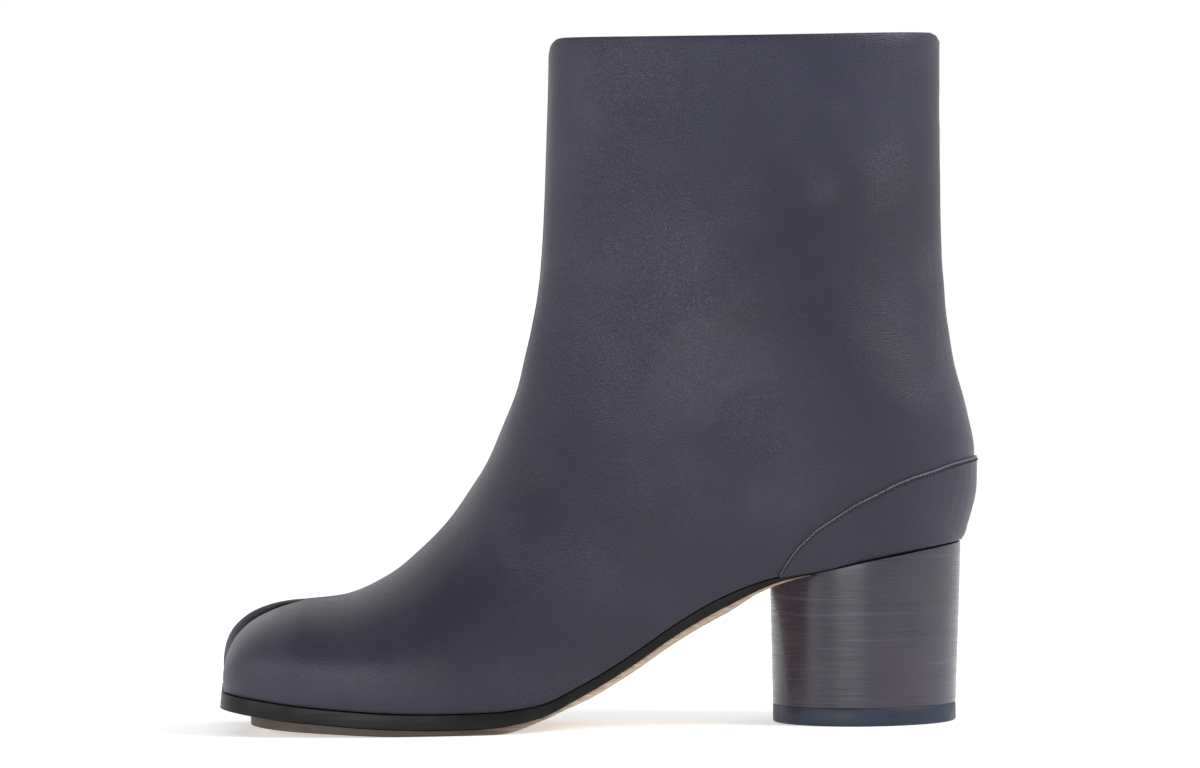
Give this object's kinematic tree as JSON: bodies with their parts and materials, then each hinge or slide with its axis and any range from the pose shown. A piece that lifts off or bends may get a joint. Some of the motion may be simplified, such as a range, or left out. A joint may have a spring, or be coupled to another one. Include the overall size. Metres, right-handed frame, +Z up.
{
  "type": "split-toe ankle boot",
  "caption": "Left split-toe ankle boot in leather with a cleft toe, plain pull-on shaft, heel counter and high round stacked heel.",
  "frame": {"origin": "centre of the heel's bottom face, on the floor", "axes": "+Z up, the toe points towards -X, the outer side of the foot faces -Y and the big toe lies towards +Y"},
  "size_m": [0.2438, 0.0863, 0.2186],
  "materials": {
    "calf_leather": "fine-grained, soft sheen",
    "insole_leather": "matt, natural",
    "black_edge": "inked and burnished edge",
    "sole_leather": "natural sole leather, brown under the ball",
    "stacked_heel": "stained and polished stacked layers",
    "navy_rubber": "satin"
  },
  "bodies": {
    "root": {"upper": "calf_leather", "heel_counter": "calf_leather", "insole": "insole_leather", "midsole": "black_edge", "outsole": "sole_leather", "heel_block": "stacked_heel", "top_lift": "navy_rubber"}
  },
  "joints": []
}
